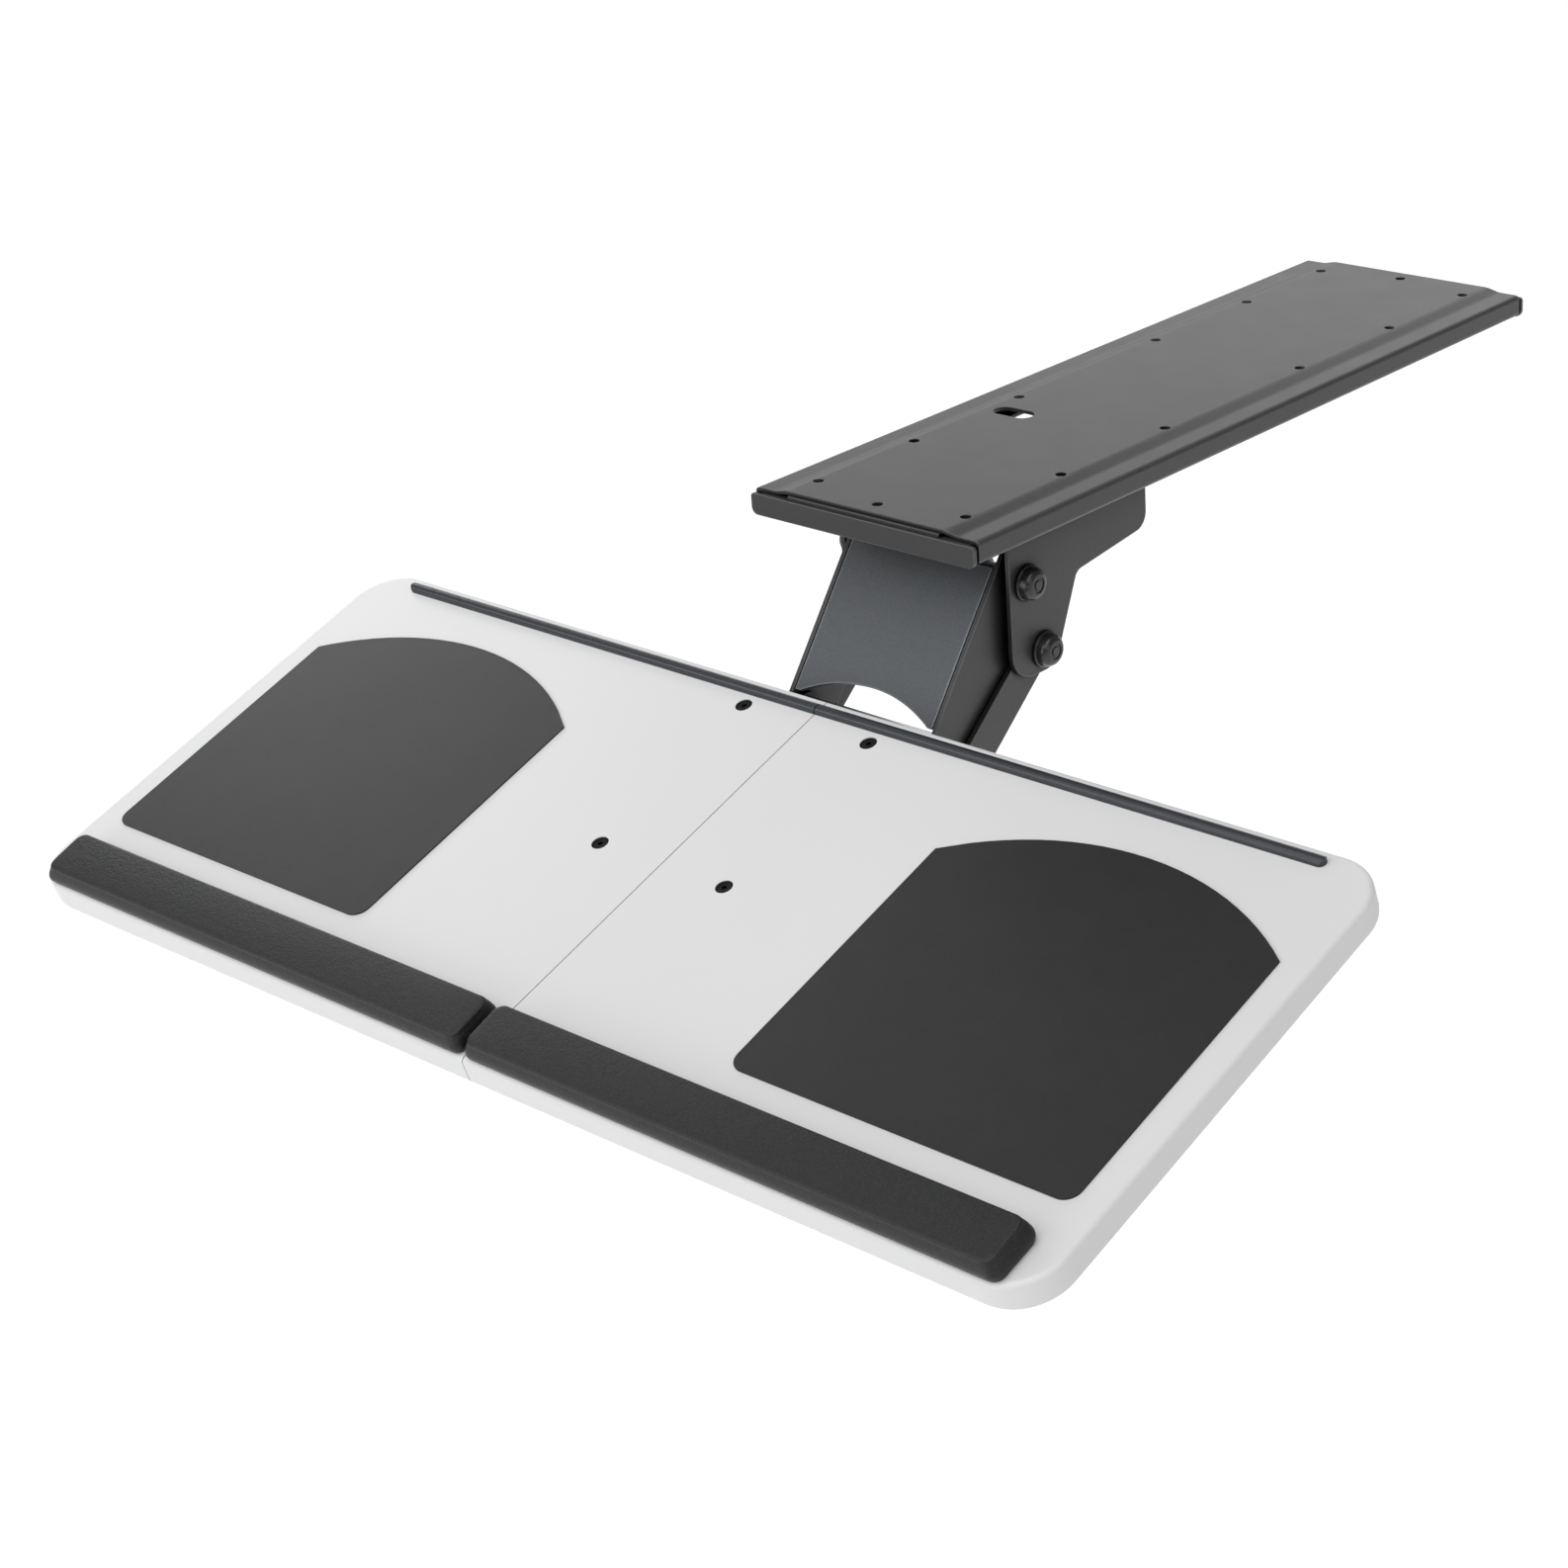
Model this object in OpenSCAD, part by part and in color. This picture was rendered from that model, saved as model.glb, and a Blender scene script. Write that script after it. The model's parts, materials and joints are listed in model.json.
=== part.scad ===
// Height-adjustable, tilting and swivelling keyboard tray that slides on a track under a desk.
// Origin: centre of the track's top face, which screws to the desk's underside.
// +X is the sitter's right, +Y points to the back of the desk, +Z is up. Millimetres.

/* [Track] */
// Length of the track, front to back
track_l = 480; // [420:5:560]
// Width of the track over its side walls
track_w = 148; // [148:1:150]
// Height of the track
track_h = 14; // [14:0.5:15]
// Thickness of the track's sheet steel
track_t = 2; // [1.8:0.1:2]
// Height of the pan above the side strips
pan_rise = 1.8; // [1.6:0.1:2]
// Half width of the raised pan
pan_half = 53; // [50:1:54]
// Width of the slope from the pan down to a side strip
pan_slope = 7.5; // [6:0.5:8]
// Width of the rails' inward flanges
rail_flange = 18; // [15:1:18]
// Radius of the desk screw holes
desk_hole_r = 3; // [2:0.1:3.5]
// Half distance between the two rows of desk screw holes
row_half = 49; // [40:1:50]

/* [Carriage] */
// Distance of the swivel axis in front of the origin
swivel_front = 143; // [141:1:145]
// Length of the carriage plate
carriage_l = 104; // [100:1:106]
// Length of a glide block
glide_l = 28; // [20:1:34]
// Radius of the swivel plate and its thrust washer
swivel_r = 46; // [36:1:48]
// Radius of the swivel pin
swivel_pin_r = 8; // [6:0.5:9]

/* [Arm] */
// Half width over the ears of the swivel bracket
ear_x = 56.5; // [56.5:0.1:57]
// Thickness of an ear
ear_t = 2.5; // [2:0.1:2.5]
// Radius of the pivot pins
pin_r = 6; // [5:0.5:6]
// Radial running clearance of a pin in its link
run_gap = 0.05; // [0.02:0.01:0.1]
// Slope of the upper link's face plate below the horizontal
face_slope = 53.3; // [53:0.1:54]
// Length of the face plate
face_l = 83; // [80:1:84]
// Radius of the arch cut in the face plate's lower edge
arch_r = 86; // [80:1:95]
// Half width of a lower link bar
bar_half = 10.5; // [9:0.5:10.5]

/* [Tray] */
// Width of the tray
tray_w = 672; // [640:2:700]
// Depth of the tray
tray_d = 273; // [270:1:276]
// Thickness of the tray board
tray_t = 16; // [15:0.5:16]
// Tilt of the tray, front edge down
tray_tilt = 18.8; // [17:0.1:19]
// Radius of the tray's corners in plan
tray_corner_r = 27; // [20:1:32]
// Radius of the board's rounded edges
tray_edge_r = 3; // [2:0.5:4]
// Half distance between the tray screws, left to right
screw_x = 42; // [42:1:44]
// Thickness of a mouse pad
pad_t = 0.8; // [0.6:0.1:2]
// Height of the palm rests
rest_h = 12.5; // [10:0.5:14]
// Depth of the palm rests
rest_d = 30.5; // [26:0.5:31]
// Width of the keyboard stop rail
stop_w = 6.5; // [6:0.5:8]
// Height of the keyboard stop rail
stop_h = 3.2; // [3:0.1:5]

/* [Hidden] */
$fn = 64;

CHARCOAL = [0.27, 0.27, 0.28];
SLATE = [0.29, 0.31, 0.33];
SATIN = [0.42, 0.42, 0.43];
BLACK = [0.12, 0.12, 0.12];
STEEL = [0.7, 0.7, 0.72];
NYLON = [0.9, 0.9, 0.86];
LAMINATE = [0.86, 0.86, 0.87];
BEECH = [0.8, 0.65, 0.45];
CLOTH = [0.25, 0.25, 0.26];
SOFT_SKIN = [0.26, 0.27, 0.28];
STRIP = [0.2, 0.22, 0.24];

// Heights inside the track
strip_under_z = -pan_rise - track_t;
flange_top_z = -track_h + track_t;
track_half = track_w / 2;

// Desk screw holes: distances from the track's middle
row_y = [60, 146, 220];
centre_hole_y = 230;
slot_at = [-34.5, -82.2];
slot_l = 25;
slot_w = 12.5;

// End stops
stop_gap = 2;
stop_t = 2;
stop_top_z = -3.8;
stop_h_track = 11.4;
stop_tab_l = 18;
stop_tab_half = 50;
bumper_l = 6.4;
bumper_x = 47;
bumper_w = 22;
bumper_gap = 0.4;

// Carriage stack, from the top down
plate_top_z = -6.5;
plate_t = 3;
plate_half = 66;
swivel_plate_t = 4;
thrust_t = 3.5;
glide_gap = 0.1;
glide_in = 57.5;
pin_head_r = 14;
pin_head_t = 3;
swivel_plate_z = plate_top_z - plate_t;
thrust_z = swivel_plate_z - swivel_plate_t;
bracket_z = thrust_z - thrust_t;
bracket_t = 3;
bracket_bend_r = 5;
nut_t = 6;
rivet_r = 2.5;
spring_washer_t = 2;

// Pivots of the parallelogram: [y, z]
upper_rear = [-185, -44];
lower_rear = [-173.5, -83.5];
link_v = [-59, -74];
upper_front = upper_rear + link_v;
lower_front = lower_rear + link_v;
tilt_at = [-275, -131];

pin_out = 2.5;

// Places across the arm, left to right, for the right-hand side
ear_in = ear_x - ear_t;
side_in = 47;
side_t = 2.5;
bar_in = 50.6;
bar_t = 2.8;
cheek_in = 43.5;
cheek_t = 3;
cheek_r = 11;
sleeve_r = 8.5;
tilt_ear_in = 39.5;
tilt_ear_t = 3;
tilt_r = 5;
tilt_bolt_left = 50;
tilt_bolt_l = 115;
tilt_head_t = 4;

spring_in = 5;

// Upper link
face_top = [-200.4, -36.7];
face_t = 2;
face_over = 3;
groove = 0.8;
arch_rise = 11.5;
side_back = 23;
face_dir = -[cos(face_slope), sin(face_slope)];

// Tray frame: origin at the middle of the board's top back edge
tray_at = [0, -274, -90.4];
tilt_local = [-14, -38.1];
seam_gap = 0.3;
screw_ys = [-19, -130];
screw_r = 2.5;
screw_gap = 0.1;
screw_head_r = 4.5;
screw_head_t = 2.2;
screw_sink = 0.5;
screw_socket_r = 1.5;
screw_socket_deep = 1.4;
mount_t = 3;
tilt_bracket_t = 2.5;
dowel_ys = [-60, -165, -255];
dowel_r = 4;
dowel_half = 20;
strip_half = 90;
strip_ys = [-240, -212];
strip_mid = (strip_ys[0] + strip_ys[1]) / 2;
strip_t = 2;
strip_screw_xs = [-75, -30, 30, 75];
strip_screw_r = 2;
pad_in = 125.2;
pad_out = 320;
pad_front = 222.6;
pad_side_back = 69;
pad_back = 36;
rest_front = 272.2;
rest_end = 320;
rest_gap = 1;
rest_lift = 0.05;
stop_end = 304;
stop_back = 5;

// ---- outline helpers ----

function unit(v) = v / norm(v);

// Arc of n steps that rounds the corner b between a and c with radius r
function corner_arc(a, b, c, r, n) =
    let (u = unit(a - b), v = unit(c - b), half = acos(u * v) / 2)
    let (o = b + unit(u + v) * r / sin(half), s = b + u * r / tan(half) - o, e = b + v * r / tan(half) - o)
    let (a0 = atan2(s[1], s[0]), turn = atan2(e[1], e[0]) - a0)
    let (sweep = turn > 180 ? turn - 360 : turn < -180 ? turn + 360 : turn)
    r == 0 ? [b] : [for (i = [0:n]) o + r * [cos(a0 + sweep * i / n), sin(a0 + sweep * i / n)]];

// Outline through points [x, y, corner radius]
function rounded(pts, n = 8) =
    let (m = len(pts), p = [for (q = pts) [q[0], q[1]]])
    [for (i = [0:m - 1]) each corner_arc(p[(i + m - 1) % m], p[i], p[(i + 1) % m], pts[i][2], n)];

// Outline of a belt of radius r around points in anticlockwise order
function belt(p, r, n = 12) =
    let (m = len(p))
    [for (i = [0:m - 1])
        let (a = p[i] - p[(i + m - 1) % m], b = p[(i + 1) % m] - p[i])
        let (a0 = atan2(a[1], a[0]) - 90, a1 = atan2(b[1], b[0]) - 90, sweep = (a1 - a0 + 720) % 360)
        for (k = [0:n]) p[i] + r * [cos(a0 + sweep * k / n), sin(a0 + sweep * k / n)]];

module capsule(p, q, r) {
    d = q - p;
    translate(p) circle(r);
    translate(q) circle(r);
    translate(p) rotate(atan2(d[1], d[0])) translate([0, -r]) square([norm(d), 2 * r]);
}

module round_rect(size, r) {
    polygon(rounded([[0, 0, r], [size[0], 0, r], [size[0], size[1], r], [0, size[1], r]]));
}

// Extrudes a side view, drawn in (Y, Z), from x0 over a width
module side(x0, width) {
    translate([x0, 0, 0]) rotate([90, 0, 90]) linear_extrude(width) children();
}

// Cylinder along X from x0 over a length, centred on [y, z]
module across(x0, length, at, r) {
    translate([x0, at[0], at[1]]) rotate([0, 90, 0]) cylinder(length, r = r);
}

module tube_across(x0, length, at, r, bore) {
    difference() {
        across(x0, length, at, r);
        across(x0 - 1, length + 2, at, bore);
    }
}

module both_sides() {
    children();
    mirror([1, 0, 0]) children();
}

module in_tray() {
    translate(tray_at) rotate([tray_tilt, 0, 0]) children();
}

// ---- track, fixed to the desk ----

// The track's cross-section, in (X, Z): right side from the top round to the underside, then the left
module track_section() {
    slope_x = pan_half + pan_slope;
    flange_x = track_half - rail_flange;
    wall_x = track_half - track_t;
    bend_r = 2.5;
    pan_r = 20;
    strip_r = 14;
    right = [
        [pan_half, 0, pan_r], [slope_x, -pan_rise, strip_r], [track_half, -pan_rise, bend_r],
        [track_half, -track_h, bend_r], [flange_x, -track_h, 0], [flange_x, flange_top_z, 0],
        [wall_x, flange_top_z, 0], [wall_x, strip_under_z, 0], [slope_x, strip_under_z, strip_r + track_t],
        [pan_half, -track_t, pan_r - track_t]
    ];
    left = [for (i = [len(right) - 1:-1:0]) [-right[i][0], right[i][1], right[i][2]]];
    polygon(rounded(concat(right, left)));
}

module desk_holes() {
    for (y = [for (d = row_y) each [-d, d]], x = [-row_half, row_half])
        translate([x, y, -track_t - 1]) cylinder(track_t + 2, r = desk_hole_r);
    for (y = [-centre_hole_y, centre_hole_y])
        translate([0, y, -track_t - 1]) cylinder(track_t + 2, r = desk_hole_r);
}

module track() {
    color(SATIN) difference() {
        translate([0, track_l / 2, 0]) rotate([90, 0, 0]) linear_extrude(track_l) track_section();
        desk_holes();
        translate([slot_at[0], slot_at[1], -track_t - 1]) linear_extrude(track_t + 2)
            capsule([-(slot_l - slot_w) / 2, 0], [(slot_l - slot_w) / 2, 0], slot_w / 2);
    }
}

// Upright lip with a tab welded under the pan, for the front end
module end_stop() {
    lip_y = -track_l / 2 - stop_gap;
    low_z = stop_top_z - stop_h_track;
    difference() {
        union() {
            translate([-track_half, lip_y, low_z]) rotate([90, 0, 0]) linear_extrude(stop_t) polygon(rounded([
                [0, 0, 4], [track_w, 0, 4], [track_w, stop_h_track, 2], [0, stop_h_track, 2]
            ]));
            translate([-stop_tab_half, lip_y, -2 * track_t]) cube([2 * stop_tab_half, stop_tab_l, track_t]);
        }
        translate([0, -centre_hole_y, -2 * track_t - 1]) cylinder(track_t + 2, r = desk_hole_r);
    }
}

module bumpers() {
    both_sides() translate([bumper_x, -track_l / 2 - stop_gap, flange_top_z + bumper_gap])
        cube([bumper_w, bumper_l, strip_under_z - flange_top_z - 2 * bumper_gap]);
}

module front_stop() { color(CHARCOAL) end_stop(); }
module rear_stop() { color(CHARCOAL) mirror([0, 1, 0]) end_stop(); }
module front_bumpers() { color(BLACK) bumpers(); }
module rear_bumpers() { color(BLACK) mirror([0, 1, 0]) bumpers(); }

// ---- carriage, slides in the track ----

module swivel_axis() {
    translate([0, -swivel_front, 0]) children();
}

module rivet_places() {
    for (a = [45:90:315]) swivel_axis() rotate(a) translate([swivel_r * 0.72, 0, 0]) children();
}

module carriage_plate() {
    color(STEEL) difference() {
        swivel_axis() translate([-plate_half, -carriage_l / 2, plate_top_z - plate_t]) linear_extrude(plate_t)
            round_rect([2 * plate_half, carriage_l], 3);
        swivel_axis() translate([0, 0, plate_top_z - plate_t - 1]) cylinder(plate_t + 2, r = swivel_pin_r);
        rivet_places() translate([0, 0, plate_top_z - plate_t - 1]) cylinder(plate_t + 2, r = rivet_r);
    }
}

// Glide block wrapped round the plate's edge; side is -1 or 1, end is -1 at the front
module glide(side, end) {
    outer = track_half - track_t - glide_gap;
    y0 = end < 0 ? -swivel_front - carriage_l / 2 - 1 : -swivel_front + carriage_l / 2 + 1 - glide_l;
    low = flange_top_z + glide_gap;
    high = strip_under_z - glide_gap;
    color(NYLON) mirror([side < 0 ? 1 : 0, 0, 0]) difference() {
        translate([glide_in, y0, low]) cube([outer - glide_in, glide_l, high - low]);
        translate([0, -swivel_front - carriage_l / 2, plate_top_z - plate_t])
            cube([plate_half, carriage_l, plate_t]);
    }
}

module glide_front_left() { glide(-1, -1); }
module glide_front_right() { glide(1, -1); }
module glide_rear_left() { glide(-1, 1); }
module glide_rear_right() { glide(1, 1); }

module swivel_plate() {
    color(STEEL) difference() {
        swivel_axis() translate([0, 0, thrust_z]) cylinder(swivel_plate_t, r = swivel_r);
        swivel_axis() translate([0, 0, thrust_z - 1]) cylinder(swivel_plate_t + 2, r = swivel_pin_r);
        rivet_places() translate([0, 0, thrust_z - 1]) cylinder(swivel_plate_t + 2, r = rivet_r);
    }
}

module swivel_rivets() {
    color(STEEL) rivet_places() {
        translate([0, 0, thrust_z]) cylinder(plate_top_z - thrust_z + 0.5, r = rivet_r);
        translate([0, 0, plate_top_z]) cylinder(1.5, r1 = 4.5, r2 = 3);
    }
}

module thrust_washer() {
    color(NYLON) swivel_axis() translate([0, 0, bracket_z]) difference() {
        cylinder(thrust_t, r = swivel_r - 2);
        translate([0, 0, -1]) cylinder(thrust_t + 2, r = swivel_pin_r);
    }
}

module swivel_pin() {
    bottom_z = bracket_z - bracket_t - spring_washer_t - nut_t - 1;
    color(STEEL) swivel_axis() {
        translate([0, 0, bottom_z]) cylinder(plate_top_z - bottom_z, r = swivel_pin_r);
        translate([0, 0, plate_top_z]) cylinder(pin_head_t, r1 = pin_head_r, r2 = pin_head_r - 2);
    }
}

module swivel_spring_washer() {
    color(STEEL) swivel_axis() translate([0, 0, bracket_z - bracket_t - spring_washer_t]) difference() {
        cylinder(spring_washer_t, r = 14);
        translate([0, 0, -1]) cylinder(spring_washer_t + 2, r = swivel_pin_r);
    }
}

module swivel_nut() {
    bottom_z = bracket_z - bracket_t - spring_washer_t - nut_t;
    color(STEEL) swivel_axis() translate([0, 0, bottom_z]) difference() {
        cylinder(nut_t, r = 13.5, $fn = 6);
        translate([0, 0, -1]) cylinder(nut_t + 2, r = swivel_pin_r);
    }
}

// ---- swivel bracket, turns under the carriage ----

// Side view of the bracket: top edge, both ears and the long rear wing
ear_outline = rounded([
    [-198, bracket_z, 0], [-198, -91, 15], [-184, -95.5, 5], [-164.5, -95.5, 12],
    [-145.2, -50.4, 6], [-87.5, -43.5, 9], [-87.5, bracket_z, 0]
]);

module bracket_bend(width, z0, r) {
    polygon(rounded([[-width / 2, -110, 0], [width / 2, -110, 0], [width / 2, z0, r], [-width / 2, z0, r]]));
}

module swivel_bracket() {
    color(CHARCOAL) difference() {
        intersection() {
            side(-ear_x - 1, 2 * ear_x + 2) polygon(ear_outline);
            rotate([90, 0, 0]) linear_extrude(260) difference() {
                bracket_bend(2 * ear_x, bracket_z, bracket_bend_r);
                bracket_bend(2 * ear_in, bracket_z - bracket_t, bracket_bend_r / 2);
            }
        }
        swivel_axis() translate([0, 0, bracket_z - bracket_t - 1])
            cylinder(bracket_t + 2, r = swivel_pin_r + run_gap);
        for (p = [upper_rear, lower_rear]) across(-ear_x - 1, 2 * ear_x + 2, p, pin_r);
    }
}

module upper_rear_pin() {
    color(STEEL) across(-ear_x - pin_out, 2 * (ear_x + pin_out), upper_rear, pin_r);
}

// Short shouldered pin on each side, with its head inside the lower bar
module lower_rear_pins() {
    color(STEEL) both_sides() {
        across(bar_in - 0.2, ear_x + pin_out - bar_in + 0.2, lower_rear, pin_r);
        across(bar_in - 0.9, 0.7, lower_rear, sleeve_r);
    }
}

module upper_spacers() {
    start = side_in + side_t + 0.2;
    color(BLACK) both_sides() tube_across(start, ear_in - start, upper_rear, 9, pin_r);
}

// Torsion spring: close coils round the upper pin, and the leg that bears under the bracket
module lift_spring() {
    wire_r = 1.25;
    coil_r = pin_r + 0.4 + wire_r;
    turns = 10;
    pitch = 2.6;
    translate([spring_in, upper_rear[0], upper_rear[1]]) rotate([0, 90, 0]) rotate_extrude($fn = 30) {
        for (i = [0:turns - 1]) translate([coil_r, i * pitch]) circle(wire_r, $fn = 14);
        translate([coil_r - wire_r / 2, 0]) square([wire_r, (turns - 1) * pitch]);
    }
    translate([spring_in, upper_rear[0] + coil_r, upper_rear[1]])
        cylinder(bracket_z - bracket_t - upper_rear[1], r = wire_r);
}

module lift_spring_left() { color(STEEL) mirror([1, 0, 0]) lift_spring(); }
module lift_spring_right() { color(STEEL) lift_spring(); }

// Stepped round cover with a ringed end, over a pin's end; drawn for the right-hand side
module pivot_cap(at) {
    color(BLACK) translate([ear_x, at[0], at[1]]) rotate([0, 90, 0]) difference() {
        rotate_extrude() polygon([
            [0, 0], [9.6, 0], [9.6, 1.6], [9, 2.2], [8.6, 2.2], [8.5, 3.4],
            for (a = [15:15:75]) [4.6 + 3.9 * cos(a), 3.6 + 4.4 * sin(a)],
            [4.6, 8], [4.2, 8], [4, 7.5], [2.6, 7.5], [2.4, 8], [0, 8]
        ]);
        translate([0, 0, -1]) cylinder(3.5, r = pin_r);
    }
}

module cap_upper_left() { mirror([1, 0, 0]) pivot_cap(upper_rear); }
module cap_upper_right() { pivot_cap(upper_rear); }
module cap_lower_left() { mirror([1, 0, 0]) pivot_cap(lower_rear); }
module cap_lower_right() { pivot_cap(lower_rear); }

// ---- upper link: face plate between two side plates ----

module upper_link_face() {
    color(SLATE) translate([0, face_top[0], face_top[1]]) rotate([face_slope, 0, 0]) difference() {
        union() {
            translate([-side_in, -face_l, -face_t]) cube([2 * side_in, face_l + face_over, face_t / 2]);
            translate([groove - side_in, -face_l, -face_t / 2])
                cube([2 * (side_in - groove), face_l + face_over, face_t / 2]);
        }
        translate([0, arch_rise - face_l - arch_r, -face_t - 1]) cylinder(face_t + 2, r = arch_r, $fn = 180);
    }
}

// Side plate: its front edge follows the face plate, and its back edge runs behind the lower bar
module upper_side() {
    d = unit(link_v);
    n = [-d[1], d[0]];
    top = face_top - 10.5 * face_dir;
    low = face_top + (face_l + 5) * face_dir;
    end_front = upper_front + cheek_r * (d - n);
    end_back = upper_front + cheek_r * d + side_back * n;
    wide = upper_rear + side_back * n + 24 * d;
    back_top = upper_rear + 13 * n - 14 * d;
    color(CHARCOAL) side(side_in, side_t) difference() {
        polygon(rounded([
            [top[0], top[1], 2], [low[0], low[1], 6], [end_front[0], end_front[1], 10.4],
            [end_back[0], end_back[1], 10], [wide[0], wide[1], 14], [back_top[0], back_top[1], 12],
            [-183.5, -26, 8]
        ]));
        for (p = [upper_rear, upper_front]) translate(p) circle(pin_r + run_gap);
    }
}

module upper_link_left() { mirror([1, 0, 0]) upper_side(); }
module upper_link_right() { upper_side(); }

// ---- lower link: two cranked bars ----

module lower_bar() {
    knee = lower_rear + 70 * [-cos(40), -sin(40)];
    color(CHARCOAL) side(bar_in, bar_t) difference() {
        union() {
            capsule(lower_rear, knee, bar_half);
            capsule(knee, lower_front, bar_half);
        }
        translate(lower_rear) circle(pin_r + run_gap);
        translate(lower_front) circle(pin_r + 4 * run_gap);
    }
}

module lower_link_left() { mirror([1, 0, 0]) lower_bar(); }
module lower_link_right() { lower_bar(); }

// ---- head: carries the tilt hinge, kept level by the two links ----

module head_plate() {
    color(CHARCOAL) side(cheek_in, cheek_t) difference() {
        polygon(belt([upper_front, tilt_at, lower_front], cheek_r));
        for (p = [upper_front, lower_front]) translate(p) circle(pin_r);
        translate(tilt_at) circle(tilt_r);
    }
}

module head_plate_left() { mirror([1, 0, 0]) head_plate(); }
module head_plate_right() { head_plate(); }

module head_web() {
    d = lower_front - tilt_at;
    color(CHARCOAL) translate([-cheek_in, tilt_at[0], tilt_at[1]]) rotate([atan2(d[1], d[0]), 0, 0])
        translate([0, cheek_r, -cheek_r]) cube([2 * cheek_in, norm(d) - 18, 2.5]);
}

module upper_front_pin() {
    half = side_in + side_t + 0.4;
    color(STEEL) across(-half, 2 * half, upper_front, pin_r);
}

module lower_front_pin() {
    half = bar_in + bar_t + 2.5;
    color(STEEL) across(-half, 2 * half, lower_front, pin_r);
}

module head_sleeves() {
    outside = cheek_in + cheek_t;
    color(STEEL) {
        tube_across(-cheek_in, 2 * cheek_in, upper_front, sleeve_r, pin_r);
        tube_across(-cheek_in, 2 * cheek_in, lower_front, sleeve_r, pin_r);
        both_sides() tube_across(outside, bar_in - 0.2 - outside, lower_front, sleeve_r, pin_r);
    }
}

module lower_pin_clips() {
    color(BLACK) both_sides() translate([bar_in + bar_t + 0.2, lower_front[0], lower_front[1]])
        rotate([0, 90, 0]) difference() {
            rotate_extrude() polygon([[0, 0], [9, 0], [9, 1.5], [7.5, 3], [7, 5], [6, 6], [0, 6]]);
            translate([0, 0, -1]) cylinder(3.3, r = pin_r);
        }
}

module tilt_bolt() {
    color(STEEL) {
        across(-tilt_bolt_left, tilt_bolt_l, tilt_at, tilt_r);
        translate([-tilt_bolt_left - tilt_head_t, tilt_at[0], tilt_at[1]]) rotate([0, 90, 0])
            cylinder(tilt_head_t, r = 9, $fn = 6);
    }
}

module tilt_washers() {
    color(STEEL) {
        tube_across(cheek_in + cheek_t, 1.5, tilt_at, 10, tilt_r);
        tube_across(-tilt_bolt_left, tilt_bolt_left - cheek_in - cheek_t, tilt_at, 10, tilt_r);
        tube_across(0.2 - tilt_ear_in, 2 * tilt_ear_in - 0.4, tilt_at, sleeve_r, tilt_r);
    }
}

// Hand knob that clamps the tilt hinge: hub, then a head with finger scallops
module tilt_knob() {
    lobes = 7;
    start = cheek_in + cheek_t + 1.7;
    color(BLACK) translate([start, tilt_at[0], tilt_at[1]]) rotate([0, 90, 0]) difference() {
        rotate_extrude() polygon([
            [0, 0], [9, 0], [9, 8], [15.5, 9], [17, 10.5], [17, 20.5], [15.5, 22.5], [11, 23.6], [0, 24]
        ]);
        for (i = [0:lobes - 1]) rotate(360 * i / lobes) translate([20.5, 0, 8.5]) cylinder(20, r = 5.5);
        translate([0, 0, -1]) cylinder(18.8, r = tilt_r + run_gap);
    }
}

// ---- tray, tilts on the head ----

module mount_plate() {
    color(CHARCOAL) in_tray() translate([0, 0, -tray_t - mount_t]) difference() {
        linear_extrude(mount_t) translate([-60, -150]) round_rect([120, 142], 12);
        for (x = [-screw_x, screw_x], y = screw_ys) translate([x, y, -1])
            cylinder(mount_t + 2, r = screw_r + screw_gap);
        channel_rivet_places() translate([0, 0, -1]) cylinder(mount_t + 2, r = rivet_r);
    }
}

module channel_rivet_places() {
    for (x = [-25, 25], y = [-30, -62]) translate([x, y, 0]) children();
}

// Channel under the mount plate with two ears for the tilt bolt
module tilt_bracket() {
    base_z = -tray_t - mount_t;
    ear_low = tilt_local[1] - cheek_r;
    out = tilt_ear_in + tilt_ear_t;
    color(CHARCOAL) in_tray() difference() {
        intersection() {
            side(-out - 1, 2 * out + 2) polygon(rounded([
                [-3, base_z, 0], [-3, ear_low, 10.9], [-25, ear_low, 10.9], [-36, -32, 8], [-74, -25, 3],
                [-74, base_z, 0]
            ]));
            rotate([90, 0, 0]) linear_extrude(100) difference() {
                polygon(rounded([[-out, -60, 0], [out, -60, 0], [out, base_z, 4], [-out, base_z, 4]]));
                polygon(rounded([
                    [-tilt_ear_in, -61, 0], [tilt_ear_in, -61, 0],
                    [tilt_ear_in, base_z - tilt_bracket_t, 2], [-tilt_ear_in, base_z - tilt_bracket_t, 2]
                ]));
            }
        }
        across(-out - 1, 2 * out + 2, tilt_local, tilt_r + run_gap);
        channel_rivet_places() translate([0, 0, base_z - tilt_bracket_t - 1])
            cylinder(tilt_bracket_t + 2, r = rivet_r);
        for (x = [-screw_x, screw_x]) translate([x, screw_ys[0], base_z - 8]) cylinder(9, r = 6.5);
    }
}

module bracket_rivets() {
    low = -tray_t - mount_t - tilt_bracket_t;
    color(STEEL) in_tray() channel_rivet_places() translate([0, 0, low]) {
        cylinder(tilt_bracket_t + mount_t - 0.2, r = rivet_r);
        translate([0, 0, -1.8]) cylinder(1.8, r1 = 3.4, r2 = 5);
    }
}

// Edge profile of the board: d wide, rounded at its outer side, top at 0
module board_profile(d) {
    polygon(rounded([
        [0, -tray_t, 0], [d, -tray_t, tray_edge_r], [d, 0, tray_edge_r], [0, 0, 0]
    ], 6));
}

module screw_cone() {
    translate([0, 0, -screw_head_t - screw_sink]) cylinder(screw_head_t, r1 = screw_r, r2 = screw_head_r);
}

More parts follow.
